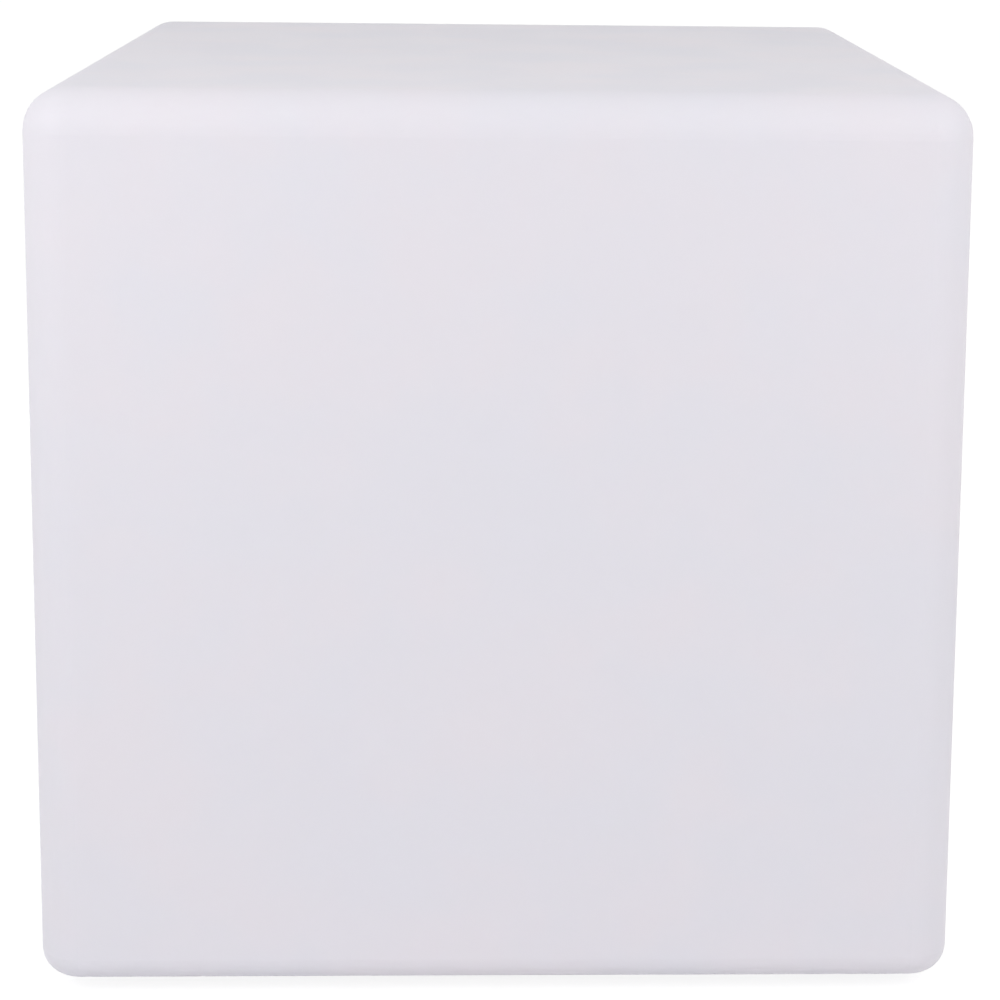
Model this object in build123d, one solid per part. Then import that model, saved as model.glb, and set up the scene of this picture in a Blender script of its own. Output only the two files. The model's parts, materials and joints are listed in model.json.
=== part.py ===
from build123d import *
import os
from math import cos, hypot, radians, sin, tan

# Led cube light. Millimetres, +Z up, front towards -Y.
# Origin: centre of the footprint, on the ground under the feet.
os.makedirs("parts", exist_ok=True)

# ---------------------------------------------------------------- driving dimensions

# moulded shell
cube_width = 400.0  # across the base
cube_height = 388.0  # underside panel to top, without the feet
draft_angle = 0.75  # lean of each side, degrees
edge_radius = 18.0  # upright and top edges
base_edge_radius = 12.0
shell_wall = 3.5
recess_lip_radius = 2.0  # rounding of the recess mouth

# feet
foot_height = 6.0  # how far a foot stands out of the underside
foot_seat_depth = 3.0  # dimple that a foot sits in
foot_radius = 15.0
foot_base_radius = 13.0
foot_edge_radius = 1.2
foot_inset = 50.0  # foot centre to the side of the cube
foot_bore_radius = 6.6  # counterbore for washer and screw head
head_ground_gap = 1.0  # ground to the foot's screw head
washer_radius = 6.0
washer_thickness = 1.0

# screws, as thread radius, head radius, head height
module_thread = 2.0
module_head = 3.8
module_head_height = 2.6
module_screw_length = 10.0
module_screw_count = 6
foot_thread = 2.5
foot_head = 4.6
foot_head_height = 3.0
foot_screw_length = 14.0
inner_thread = 1.5
inner_head = 2.8
inner_head_height = 1.8
dome_screw_length = 10.0
dome_screw_count = 6
led_screw_length = 8.0
board_screw_length = 7.0
cradle_screw_length = 6.0
strap_screw_length = 7.0
screw_hole_extra = 1.5  # hole depth beyond a screw's tip
drive_width = 0.28  # width of the cross recess, as a share of the head radius
drive_length = 1.2  # length of the cross recess, as a share of the head radius
drive_depth = 0.55  # depth of the cross recess, as a share of the head height
head_rounding = 0.5  # rounding of a screw head, as a share of its height
tip_chamfer = 0.33  # chamfer of a screw's tip, as a share of its thread radius

# threaded inserts
insert_wall = 1.0
module_insert_length = 8.0
foot_insert_length = 9.0
insert_flute = 0.4  # depth of the grip groove round an insert
flute_share = 0.2  # width of that groove, as a share of the insert's length
insert_boss_wall = 2.5

# light module housing
flange_thickness = 5.0
floor_thickness = 3.0
tub_wall = 3.5
gasket_thickness = 1.5
gasket_width = 4.5
opening_gap = 2.0  # tub to opening in the shell
recess_gap = 3.0  # flange rim to recess wall
counterbore_depth = 2.8
counterbore_gap = 0.7
flange_edge_radius = 1.2
boss_wall = 2.0  # plastic round a screw in a boss

# battery pack: cells side by side along X
cell_radius = 9.2
cell_length = 65.2
cell_count = 3
cell_nub_radius = 4.3
cell_nub_height = 0.7
cell_edge_radius = 0.8
cradle_floor = 2.0
cradle_wall = 2.4
cradle_ear_thickness = 2.0
tab_thickness = 0.3
tab_height = 8.0
strap_width = 14.0
strap_thickness = 1.2
strap_corner_radius = 3.5

# control board
board_width = 26.0
board_thickness = 1.6
board_corner_radius = 2.0
board_screw_inset = 4.0
chip_size = 6.0
chip_count = 3
chip_height = 1.2
inductor_size = 9.0
inductor_height = 5.0
inductor_corner_radius = 2.25
capacitor_radius = 4.0
capacitor_height = 9.0
capacitor_edge_radius = 0.8
receiver_length = 12.0
receiver_width = 7.0
receiver_board = 0.8
receiver_can = 1.8
receiver_can_length = 8.4
receiver_can_width = 6.0
terminal_size = 6.0
terminal_width = 4.8
terminal_height = 6.0
connector_length = 14.0
connector_width = 6.0
connector_height = 5.0

# led board and its parts
led_board_thickness = 1.6
led_post_y = 24.0
led_count = 12  # of each kind
led_size = 5.0
led_height = 1.6
led_window_radius = 2.0
led_window_depth = 0.6
rgb_ring_radius = 34.0
white_ring_radius = 20.0

# opal dome
dome_rise = 25.0
dome_wall = 2.2
dome_flange = 3.0
dome_gasket_thickness = 1.0
dome_headroom = 8.0  # led tops to the tub's rim

# leads
lead_radius = 0.7
bend_share = 0.8  # bend radius, as a share of the room for it
lead_pitch = 2.2
lead_count = 5
battery_lead_radius = 0.8
terminal_lead_run = 5.7  # terminal to the lead's stretch along the pack
lead_overhang = 7.5  # how far the led leads loop out past the board

# charging socket: 5.5 mm barrel on a 2.1 mm pin
pin_radius = 1.02
pin_root_radius = 1.4
socket_bore_radius = 2.9
socket_bore_depth = 10.0
socket_back = 2.1  # plastic behind the bore
pin_setback = 1.0  # pin tip behind the socket's face
nose_radius = 5.5
nose_setback = 1.9  # socket face above the module's underside
nose_gap = 0.3
well_gap = 0.6  # well in front of the socket, beyond the nose's hole
port_boss_height = 4.0
port_boss_wall = 3.2
seal_thickness = 1.0
socket_flange = 1.5

# hinged socket cover
knuckle_radius = 1.6
hinge_gap = 0.3  # knuckle to the module's underside
flap_pin_radius = 0.75
running_clearance = 0.05  # radial, pin in knuckle and in ears
ear_thickness = 2.0
ear_gap = 0.3  # flap to each ear
flap_thickness = 1.6
flap_rim = 0.9  # cover beyond the well
flap_ground_gap = 1.9  # open cover to the ground
hinge_offset = 1.0  # hinge axis to the edge of the well
plug_gap = 0.5
plug_engagement = 1.2
flap_grip = 1.0  # depth of the fingernail lip
flap_corner_radius = 3.0

# power button
button_radius = 8.0
button_gap = 0.3
button_proud = 1.2
button_travel = 1.5
button_flange_width = 1.5
button_flange_thickness = 1.2
button_dish_depth = 0.5
button_recess_depth = 0.8  # shallow dish of the housing round the button
button_recess_width = 3.0
stem_radius = 3.0
mark_radius = 3.4  # ring of the on/off mark
mark_width = 0.8
mark_depth = 0.3
mark_opening = 60.0  # gap of the ring, degrees
mark_bar = 3.4  # length of the bar in the gap
boot_wall = 1.0
boot_foot_width = 2.3
boot_foot_height = 1.5
plunger_radius = 2.0
plunger_engagement = 1.7  # plunger inside the switch at rest
switch_size = 12.0
switch_back = 0.6  # plastic behind the plunger's hole

# charge indicator
lens_radius = 1.5
lens_collar = 1.0
lens_proud = 0.3
chip_led_size = 2.0
chip_led_height = 0.8

# pressure vent
vent_angle = 211.0  # degrees round the module
vent_radius = 4.0
vent_head_radius = 6.5
vent_head_height = 1.4
vent_length = 6.0
vent_slots = 6
vent_slot_width = 1.2

# clearances
seat_gap = 0.3  # between neighbours that do not bear on each other
fit_gap = 0.05  # screw in its thread, insert in its boss
part_gap = 1.5  # least room between unrelated parts

# ---------------------------------------------------------------- levels and places

underside_z = foot_height
shell_top_z = underside_z + cube_height

# the socket's cover sets how deep the module lies: open, it stays off the ground
nose_hole_radius = nose_radius + nose_gap
port_boss_radius = nose_hole_radius + port_boss_wall
well_radius = nose_hole_radius + well_gap
flap_reach = hinge_offset + 2 * well_radius + flap_rim
flap_half = well_radius + flap_rim
hinge_z = flap_ground_gap + flap_reach
plate_z = hinge_z + knuckle_radius + hinge_gap  # underside of the light module
flap_top_z = plate_z - hinge_gap
flange_top_z = plate_z + flange_thickness
landing_z = flange_top_z + gasket_thickness  # face of the shell that the module is screwed to
floor_z = plate_z + floor_thickness  # inside floor of the module
head_seat_z = plate_z + counterbore_depth

# button, boot and switch
button_face_z = plate_z - button_proud
button_flange_z = floor_z + seat_gap
button_flange_top_z = button_flange_z + button_flange_thickness
button_flange_radius = button_radius + button_flange_width
boot_radius = button_flange_radius + part_gap / 2
boot_outer = boot_radius + boot_foot_width
boot_collar_z = button_flange_top_z + button_travel
stem_top_z = boot_collar_z + boot_wall + seat_gap
switch_z = stem_top_z + button_travel + seat_gap + boot_wall / 2
plunger_top_z = switch_z + plunger_engagement
switch_hole_top_z = plunger_top_z + button_travel + seat_gap

# charging socket
socket_face_z = plate_z + nose_setback
socket_root_z = socket_face_z + socket_bore_depth
port_boss_z = floor_z + port_boss_height
socket_flange_z = port_boss_z + seal_thickness
pin_tip_z = socket_face_z + pin_setback

# control board, over socket and switch
board_z = max(socket_root_z + socket_back, switch_hole_top_z + switch_back)
board_top_z = board_z + board_thickness
lead_z = board_top_z + inner_head_height + seat_gap + battery_lead_radius

# battery pack
cell_z = floor_z + cradle_floor + seat_gap + cell_radius
cell_top_z = cell_z + cell_radius
cradle_top_z = cell_z - cradle_ear_thickness
cradle_ear_z = floor_z + cradle_screw_length
strap_z = cell_top_z + seat_gap
pitch_y = 2 * cell_radius + seat_gap
tray_length = cell_length + 2 * (tab_thickness + seat_gap)
tray_width = cell_count * pitch_y + seat_gap
pack_length = tray_length + 2 * cradle_wall
pack_width = tray_width + 2 * cradle_wall
screw_post_radius = inner_thread + boss_wall
lug_y = pack_width / 2 + screw_post_radius - cradle_wall / 2
pack_board_gap = lug_y + screw_post_radius + 2 * seat_gap - pack_width / 2
contents_width = pack_width + pack_board_gap + board_width
pack_y = contents_width / 2 - pack_width / 2
board_y = -contents_width / 2 + board_width / 2
cell_rows = [pack_y + (n - (cell_count - 1) / 2) * pitch_y for n in range(cell_count)]
lead_x = cell_length / 2 + tab_thickness + battery_lead_radius

# along the control board: post, button, indicator, socket, post
post_rise = board_width / 2 - board_screw_inset
button_reach = boot_outer + screw_post_radius + part_gap
port_reach = port_boss_radius + screw_post_radius + part_gap
lens_reach = lens_radius + lens_collar + part_gap
post_to_button = max(button_reach ** 2 - post_rise ** 2, 0) ** 0.5
port_to_post = max(port_reach ** 2 - post_rise ** 2, 0) ** 0.5
button_to_lens = boot_outer + lens_reach
lens_to_port = port_boss_radius + lens_reach
board_post_x = (post_to_button + button_to_lens + lens_to_port + port_to_post) / 2
board_length = 2 * (board_post_x + board_screw_inset)
button_x = post_to_button - board_post_x
indicator_x = button_x + button_to_lens
port_x = indicator_x + lens_to_port
hinge_y = board_y + well_radius + hinge_offset

# led board above the tallest part below it
strap_top_z = strap_z + strap_thickness + inner_head_height
tallest_z = max(strap_top_z, board_top_z + max(capacitor_height, terminal_height, inductor_height))
led_board_z = tallest_z + part_gap
led_board_top_z = led_board_z + led_board_thickness
rim_z = led_board_top_z + led_height + dome_headroom
dome_z = rim_z + dome_gasket_thickness
dome_flange_z = dome_z + dome_flange

# round the module, from its contents outwards
led_post_x = max(pack_length, board_length) / 2 + part_gap + screw_post_radius
led_post_reach = hypot(led_post_x, led_post_y) + screw_post_radius
dome_screw_step = 360 / dome_screw_count
boss_by_width = (contents_width / 2 + part_gap + screw_post_radius) / sin(radians(dome_screw_step))
dome_screw_ring = max(boss_by_width, led_post_reach + screw_post_radius + part_gap)
led_board_radius = dome_screw_ring - screw_post_radius - part_gap
pack_corner = hypot(pack_length / 2, contents_width / 2)
tub_inner = max(dome_screw_ring + screw_post_radius, pack_corner) + part_gap
tub_radius = tub_inner + tub_wall
opening_radius = tub_radius + opening_gap
gasket_inner = opening_radius + part_gap
gasket_outer = gasket_inner + gasket_width
module_screw_ring = gasket_outer + module_head + part_gap
flange_radius = module_screw_ring + module_head + 2 * part_gap
recess_radius = flange_radius + recess_gap
dome_base_radius = dome_screw_ring - inner_head - part_gap

# feet and inserts
foot_offset = cube_width / 2 - foot_inset
foot_seat_z = underside_z + foot_seat_depth
washer_z = head_ground_gap + foot_head_height
insert_radius = module_thread + insert_wall
foot_insert_radius = foot_thread + insert_wall
insert_hole_top_z = max(landing_z + module_insert_length, head_seat_z + module_screw_length) + seat_gap
foot_hole_top_z = max(foot_seat_z + foot_insert_length, washer_z + foot_screw_length) + seat_gap


# ---------------------------------------------------------------- shapes in common

def disc(radius, bottom, top, x=0.0, y=0.0):
    """Upright cylinder between two levels."""
    base = (Align.CENTER, Align.CENTER, Align.MIN)
    return Pos(x, y, bottom) * Cylinder(radius, top - bottom, align=base)


def ring(outer, inner, bottom, top, x=0.0, y=0.0):
    """Upright tube between two levels."""
    return disc(outer, bottom, top, x, y) - disc(inner, bottom, top, x, y)


def block(length, width, bottom, top, x=0.0, y=0.0):
    """Box of length along X and width along Y between two levels."""
    base = (Align.CENTER, Align.CENTER, Align.MIN)
    return Pos(x, y, bottom) * Box(length, width, top - bottom, align=base)


def slab(length, width, corner, bottom, top, x=0.0, y=0.0):
    """Plate with rounded corners between two levels."""
    outline = RectangleRounded(length, width, corner)
    return Pos(x, y, bottom) * extrude(outline, top - bottom)


def rod(radius, length, x, y, z):
    """Cylinder along X, centred."""
    return Pos(x, y, z) * Rot(0, 90, 0) * Cylinder(radius, length)


def polar(radius, angle):
    """Point at an angle in degrees on a circle about the centre."""
    return radius * cos(radians(angle)), radius * sin(radians(angle))


def spread(count, radius, start=0.0):
    """Evenly spaced points on a circle."""
    return [polar(radius, start + 360 * n / count) for n in range(count)]


def corners(half_x, half_y, x=0.0, y=0.0):
    """Four points of a rectangle."""
    return [(x + half_x * i, y + half_y * j) for i in (-1, 1) for j in (-1, 1)]


def pan_screw(thread, head, head_height, length):
    """Screw with its seat at z = 0, shank up, rounded head down, cross recess in the head."""
    cap = disc(head, -head_height, 0)
    crown = cap.edges().group_by(Axis.Z)[0]
    cap = fillet(crown, head_height * head_rounding)
    shank = disc(thread, 0, length)
    shank = chamfer(shank.edges().group_by(Axis.Z)[-1], thread * tip_chamfer)
    arm = (head * drive_length, head * drive_width)
    depth = -head_height * (1 - drive_depth)
    cross = block(arm[0], arm[1], -head_height, depth)
    cross += block(arm[1], arm[0], -head_height, depth)
    return cap + shank - cross


def inner_screw(length):
    """Small screw that enters downwards, seat at z = 0."""
    return Rot(180, 0, 0) * pan_screw(inner_thread, inner_head, inner_head_height, length)


def insert(radius, bore, length):
    """Threaded insert standing on z = 0, with a grip groove."""
    half_groove = length * flute_share / 2
    groove = ring(radius, radius - insert_flute, length / 2 - half_groove, length / 2 + half_groove)
    return ring(radius, bore, 0, length) - groove


def save(name, *shapes):
    """Write one node: every solid in the given shapes."""
    solids = [solid for shape in shapes for solid in shape.solids()]
    export_step(solids[0] if len(solids) == 1 else Compound(solids), f"parts/{name}.step")


def save_copies(name, shape, places):
    """Write one node of equal solids, one at each place (x, y, z)."""
    save(name, *[Pos(*place) * shape for place in places])


# ---------------------------------------------------------------- cube shell, feet and fasteners

module_seats = spread(module_screw_count, module_screw_ring, 180 / module_screw_count)
foot_seats = corners(foot_offset, foot_offset)


def tapered_block(inset):
    """The cube's outline, drawn in by the same distance on every side."""
    lean = tan(radians(draft_angle))
    low = cube_width - 2 * inset / cos(radians(draft_angle)) - 2 * lean * inset
    high = low - 2 * lean * (cube_height - 2 * inset)
    bottom_z = underside_z + inset
    top_z = shell_top_z - inset
    base = Pos(0, 0, bottom_z) * Rectangle(low, low)
    lid = Pos(0, 0, top_z) * Rectangle(high, high)
    body = loft([base, lid], ruled=True)
    upright, upper = body.edges().group_by(Axis.Z)[1:]
    body = fillet(upright + upper, edge_radius - inset)
    return fillet(body.faces().sort_by(Axis.Z)[0].edges(), base_edge_radius - inset)


def cube_shell():
    """Hollow shell with the module's recess, foot dimples and insert bosses in its base."""
    insert_hole = insert_radius + fit_gap
    foot_hole = foot_insert_radius + fit_gap
    body = tapered_block(0) - tapered_block(shell_wall)
    body += disc(recess_radius + shell_wall, underside_z, landing_z + shell_wall)
    body -= disc(recess_radius, underside_z, landing_z)
    body -= disc(opening_radius, landing_z, landing_z + shell_wall)
    mouth = body.faces().sort_by(Axis.Z)[0].inner_wires()[0]
    body = fillet(mouth.edges(), recess_lip_radius)
    for x, y in module_seats:
        body += disc(insert_hole + insert_boss_wall, landing_z, insert_hole_top_z + insert_boss_wall, x, y)
        body -= disc(insert_hole, landing_z, insert_hole_top_z, x, y)
    for x, y in foot_seats:
        body += disc(foot_hole + insert_boss_wall, foot_seat_z, foot_hole_top_z + insert_boss_wall, x, y)
        body += disc(foot_radius + seat_gap + shell_wall, underside_z, foot_seat_z + shell_wall, x, y)
        body -= disc(foot_radius + seat_gap, underside_z, foot_seat_z, x, y)
        body -= disc(foot_hole, foot_seat_z, foot_hole_top_z, x, y)
    return body


def rubber_foot():
    """Foot on z = 0 with a counterbore for its washer and screw head."""
    outline = [
        (0, 0),
        (foot_base_radius, 0),
        (foot_radius, foot_height),
        (foot_radius, foot_seat_z),
        (0, foot_seat_z),
    ]
    body = revolve(Plane.XZ * make_face(Polyline(*outline, close=True)), Axis.Z)
    body = fillet(body.edges().group_by(Axis.Z)[0], foot_edge_radius)
    body -= disc(foot_bore_radius, 0, washer_z + washer_thickness)
    return body - disc(foot_thread + seat_gap, washer_z, foot_seat_z)


foot_screw = pan_screw(foot_thread, foot_head, foot_head_height, foot_screw_length)
module_screw = pan_screw(module_thread, module_head, module_head_height, module_screw_length)
module_insert = insert(insert_radius, module_thread + fit_gap, module_insert_length)
foot_insert = insert(foot_insert_radius, foot_thread + fit_gap, foot_insert_length)
washer = ring(washer_radius, foot_thread + seat_gap, 0, washer_thickness)

save("cube_shell", cube_shell())
save_copies("module_inserts", module_insert, [(x, y, landing_z) for x, y in module_seats])
save_copies("module_screws", module_screw, [(x, y, head_seat_z) for x, y in module_seats])
save_copies("rubber_feet", rubber_foot(), [(x, y, 0) for x, y in foot_seats])
save_copies("foot_inserts", foot_insert, [(x, y, foot_seat_z) for x, y in foot_seats])
save_copies("foot_washers", washer, [(x, y, washer_z) for x, y in foot_seats])
save_copies("foot_screws", foot_screw, [(x, y, washer_z) for x, y in foot_seats])


# ---------------------------------------------------------------- light module housing

dome_seats = spread(dome_screw_count, dome_screw_ring)
led_posts = corners(led_post_x, led_post_y)
board_posts = corners(board_post_x, post_rise, 0, board_y)
cradle_ears = [(s * (pack_length / 2 + screw_post_radius), 0.0) for s in (-1, 1)]
strap_lugs = [(0.0, pack_y + s * lug_y) for s in (-1, 1)]
vent_x, vent_y = polar(dome_screw_ring, vent_angle)


def hinge_ears():
    """Two ears under the module that carry the cover's pin."""
    ears = []
    for side in (-1, 1):
        x = port_x + side * (flap_half + ear_gap + ear_thickness / 2)
        ear = rod(knuckle_radius, ear_thickness, x, hinge_y, hinge_z)
        ear += block(ear_thickness, 2 * knuckle_radius, hinge_z, plate_z, x, hinge_y)
        ear -= rod(flap_pin_radius + running_clearance, ear_thickness, x, hinge_y, hinge_z)
        ears.append(ear)
    return ears


def module_housing():
    """Tub with its mounting flange, posts, port boss and hinge ears."""
    rim = disc(flange_radius, plate_z, flange_top_z)
    body = fillet(rim.edges().group_by(Axis.Z)[0], flange_edge_radius)
    body += disc(tub_radius, plate_z, rim_z)
    body -= disc(tub_inner, floor_z, rim_z)
    for places, top, depth in (
        (dome_seats, rim_z, dome_screw_length - dome_flange),
        (led_posts, led_board_z, led_screw_length - led_board_thickness),
        (board_posts, board_z, board_screw_length - board_thickness),
        (cradle_ears, cradle_ear_z, cradle_screw_length - cradle_ear_thickness),
    ):
        for x, y in places:
            body += disc(screw_post_radius, floor_z, top, x, y)
            body -= disc(inner_thread + fit_gap, top - depth - screw_hole_extra, top, x, y)
    body += disc(port_boss_radius, floor_z, port_boss_z, port_x, board_y)
    body -= disc(nose_hole_radius, plate_z, port_boss_z, port_x, board_y)
    body -= disc(well_radius, plate_z, socket_face_z, port_x, board_y)
    for x, y in module_seats:
        body -= disc(module_head + counterbore_gap, plate_z, head_seat_z, x, y)
        body -= disc(module_thread + seat_gap, head_seat_z, flange_top_z, x, y)
    dish = button_radius + button_recess_width
    body -= disc(dish, plate_z, plate_z + button_recess_depth, button_x, board_y)
    body -= disc(button_radius + button_gap, plate_z, floor_z, button_x, board_y)
    body -= disc(lens_radius + fit_gap, plate_z, floor_z, indicator_x, board_y)
    body -= disc(vent_radius + fit_gap, plate_z, floor_z, vent_x, vent_y)
    for ear in hinge_ears():
        body += ear
    return body


def light_dome():
    """Opal spherical cap on a flat flange."""
    ball = (dome_base_radius ** 2 + dome_rise ** 2) / (2 * dome_rise)
    centre = Pos(0, 0, dome_flange_z + dome_rise - ball)
    apex = dome_flange_z + dome_rise
    cap = (centre * Sphere(ball)) & disc(dome_base_radius, dome_z, apex)
    hollow = (centre * Sphere(ball - dome_wall)) & disc(dome_base_radius - dome_wall, dome_z, apex)
    body = disc(tub_radius - seat_gap, dome_z, dome_flange_z) + cap - hollow
    for x, y in dome_seats:
        body -= disc(inner_thread + seat_gap, dome_z, dome_flange_z, x, y)
    return body


def dome_gasket():
    """Ring seal on the tub's rim."""
    seal = ring(tub_radius - seat_gap, dome_screw_ring - screw_post_radius, rim_z, dome_z)
    for x, y in dome_seats:
        seal -= disc(inner_thread + seat_gap, rim_z, dome_z, x, y)
    return seal


save("module_housing", module_housing())
save("module_gasket", ring(gasket_outer, gasket_inner, flange_top_z, landing_z))
save("light_dome", light_dome())
save("dome_gasket", dome_gasket())
save_copies("dome_screws", inner_screw(dome_screw_length), [(x, y, dome_flange_z) for x, y in dome_seats])


# ---------------------------------------------------------------- leds

def led_package():
    """One led package with its round window, standing on the led board."""
    body = block(led_size, led_size, led_board_top_z, led_board_top_z + led_height)
    window = led_board_top_z + led_height - led_window_depth
    return body - disc(led_window_radius, window, led_board_top_z + led_height)


def led_board():
    """Round aluminium board on four posts."""
    body = disc(led_board_radius, led_board_z, led_board_top_z)
    for x, y in led_posts:
        body -= disc(inner_thread + seat_gap, led_board_z, led_board_top_z, x, y)
    return body


half_step = 180 / led_count
rgb_places = [(x, y, 0) for x, y in spread(led_count, rgb_ring_radius, half_step)]
white_places = [(x, y, 0) for x, y in spread(led_count, white_ring_radius)]
save("led_board", led_board())
save_copies("rgb_leds", led_package(), rgb_places)
save_copies("white_leds", led_package(), white_places)
led_seats = [(x, y, led_board_top_z) for x, y in led_posts]
save_copies("led_board_screws", inner_screw(led_screw_length), led_seats)


# ---------------------------------------------------------------- battery pack

def battery_cell(y):
    """Round cell along X, its nub towards +X."""
    body_length = cell_length - cell_nub_height
    can = rod(cell_radius, body_length, -cell_nub_height / 2, y, cell_z)
    can = fillet(can.edges().filter_by(GeomType.CIRCLE), cell_edge_radius)
    nub_x = cell_length / 2 - cell_nub_height / 2
    return can + rod(cell_nub_radius, cell_nub_height, nub_x, y, cell_z)


def battery_cradle():
    """Tray with a trough for each cell, two screw ears and two strap lugs."""
    body = block(pack_length, pack_width, floor_z, cradle_top_z, 0, pack_y)
    ear_top = cradle_ear_z + cradle_ear_thickness
    for x, y in cradle_ears:
        root_x = x - screw_post_radius if x > 0 else x + screw_post_radius
        ear = disc(screw_post_radius, cradle_ear_z, ear_top, x, y)
        ear += block(abs(x - root_x), 2 * screw_post_radius, cradle_ear_z, ear_top, (x + root_x) / 2, y)
        body += ear - disc(inner_thread + seat_gap, cradle_ear_z, ear_top, x, y)
    for x, y in strap_lugs:
        body += disc(screw_post_radius, floor_z, strap_z, x, y)
        hole_depth = strap_screw_length - strap_thickness + screw_hole_extra
        body -= disc(inner_thread + fit_gap, strap_z - hole_depth, strap_z, x, y)
    for y in cell_rows:
        body -= rod(cell_radius + seat_gap, tray_length, 0, y, cell_z)
    end_slot = tab_thickness + seat_gap
    for side in (-1, 1):
        x = side * (tray_length - end_slot) / 2
        body -= block(end_slot, tray_width, floor_z + cradle_floor, cradle_top_z, x, pack_y)
    return body


def battery_tab(side):
    """Nickel strip across the cell ends, as high as the lead that is soldered to it."""
    x = side * (cell_length + tab_thickness) / 2
    width = (cell_count - 1) * pitch_y + tab_height
    top = max(cell_z + tab_height / 2, lead_z + battery_lead_radius)
    return block(tab_thickness, width, cell_z - tab_height / 2, top, x, pack_y)


def battery_strap():
    """Flat strap over the cells, screwed to the cradle's lugs."""
    length = 2 * (lug_y + screw_post_radius)
    top = strap_z + strap_thickness
    body = slab(strap_width, length, strap_corner_radius, strap_z, top, 0, pack_y)
    for x, y in strap_lugs:
        body -= disc(inner_thread + seat_gap, strap_z, top, x, y)
    return body


ear_screw_z = cradle_ear_z + cradle_ear_thickness
lug_screw_z = strap_z + strap_thickness
save("battery_cells", *[battery_cell(y) for y in cell_rows])
save("battery_cradle", battery_cradle())
save("battery_tabs", battery_tab(-1), battery_tab(1))
save("battery_strap", battery_strap())
save_copies("cradle_screws", inner_screw(cradle_screw_length), [(x, y, ear_screw_z) for x, y in cradle_ears])
save_copies("strap_screws", inner_screw(strap_screw_length), [(x, y, lug_screw_z) for x, y in strap_lugs])


# ---------------------------------------------------------------- control board

def control_board():
    """Board on four posts."""
    body = slab(board_length, board_width, board_corner_radius, board_z, board_top_z, 0, board_y)
    for x, y in board_posts:
        body -= disc(inner_thread + seat_gap, board_z, board_top_z, x, y)
    return body


def on_board(length, width, height, x, y):
    """Box part on the top of the control board, y from the board's middle."""
    return block(length, width, board_top_z, board_top_z + height, x, board_y + y)


# two rows of parts, at a quarter and three quarters of the board's width
back_row = board_width / 4
front_row = -board_width / 4
chip_pitch = chip_size + part_gap
chip_half = (chip_count - 1) / 2 * chip_pitch + chip_size / 2
plug_half = connector_length / 2

chips = []
for n in range(chip_count):
    x = (n - (chip_count - 1) / 2) * chip_pitch
    chips.append(on_board(chip_size, chip_size, chip_height, x, front_row))

coil_x = -(chip_half + part_gap + inductor_size / 2)
coil = slab(inductor_size, inductor_size, inductor_corner_radius, board_top_z, board_top_z + inductor_height)
coil = Pos(coil_x, board_y + front_row, 0) * coil

cans = []
for half, row in ((plug_half, back_row), (chip_half, front_row)):
    x = half + part_gap + capacitor_radius
    can = disc(capacitor_radius, board_top_z, board_top_z + capacitor_height, x, board_y + row)
    cans.append(fillet(can.edges().group_by(Axis.Z)[-1], capacitor_edge_radius))

receiver_x = -(plug_half + part_gap + receiver_length / 2)
shield_z = board_top_z + receiver_board
receiver = on_board(receiver_length, receiver_width, receiver_board, receiver_x, back_row)
receiver += block(receiver_can_length, receiver_can_width, shield_z, shield_z + receiver_can,
                  receiver_x, board_y + back_row)

terminal_x = lead_x - terminal_lead_run - terminal_size / 2
terminals = [on_board(terminal_size, terminal_width, terminal_height, s * terminal_x, 0) for s in (-1, 1)]

# plugs of the led leads: one on the board, one under the led board
board_plug_y = board_y + back_row
led_plug_y = board_y - board_width / 2 + connector_width / 2
led_plug_z = led_board_z - connector_height
board_plug = on_board(connector_length, connector_width, connector_height, 0, back_row)
led_plug = block(connector_length, connector_width, led_plug_z, led_board_z, 0, led_plug_y)

save("control_board", control_board())
board_seats = [(x, y, board_top_z) for x, y in board_posts]
save_copies("control_board_screws", inner_screw(board_screw_length), board_seats)
save("control_chips", *chips)
save("power_inductor", coil)
save("smoothing_capacitors", *cans)
save("remote_receiver", receiver)
save("battery_terminals", *terminals)
save("led_connectors", board_plug, led_plug)


# ---------------------------------------------------------------- leads

def lead(points, bend, radius):
    """Round lead along straight runs joined by arcs."""
    path = FilletPolyline(*points, radius=bend)
    mouth = Plane(origin=path @ 0, z_dir=path % 0)
    return sweep(mouth * Circle(radius), path=path)


def led_lead(x):
    """One lead: out of the board's plug, round, and back into the led board's plug."""
    low = board_top_z + connector_height / 2
    high = led_board_z - connector_height / 2
    loop_y = board_y - board_width / 2 - lead_overhang
    start = (x, board_plug_y - connector_width / 2, low)
    end = (x, led_plug_y - connector_width / 2, high)
    bend = (high - low) / 2 * bend_share
    return lead([start, (x, loop_y, low), (x, loop_y, high), end], bend, lead_radius)


def battery_lead(side):
    """Lead from a terminal along the pack's end to its tab."""
    x = side * lead_x
    start = (x - side * terminal_lead_run, board_y, lead_z)
    corner = (x, board_y, lead_z)
    end = (x, cell_rows[0], lead_z)
    return lead([start, corner, end], terminal_lead_run * bend_share, battery_lead_radius)


lead_xs = [(n - (lead_count - 1) / 2) * lead_pitch for n in range(lead_count)]
save("led_leads", *[led_lead(x) for x in lead_xs])
save("battery_lead_red", battery_lead(1))
save("battery_lead_black", battery_lead(-1))


# ---------------------------------------------------------------- charging socket and its cover

def charging_socket():
    """Barrel socket: nose through the port, flange on its seal, bore open downwards."""
    body = disc(nose_radius, socket_face_z, socket_flange_z)
    body += disc(port_boss_radius, socket_flange_z, socket_flange_z + socket_flange)
    body += block(switch_size, switch_size, socket_flange_z + socket_flange, board_z)
    body -= disc(socket_bore_radius, socket_face_z, socket_root_z)
    body -= disc(pin_root_radius + fit_gap, socket_root_z, board_z)
    return Pos(port_x, board_y, 0) * body


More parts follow.
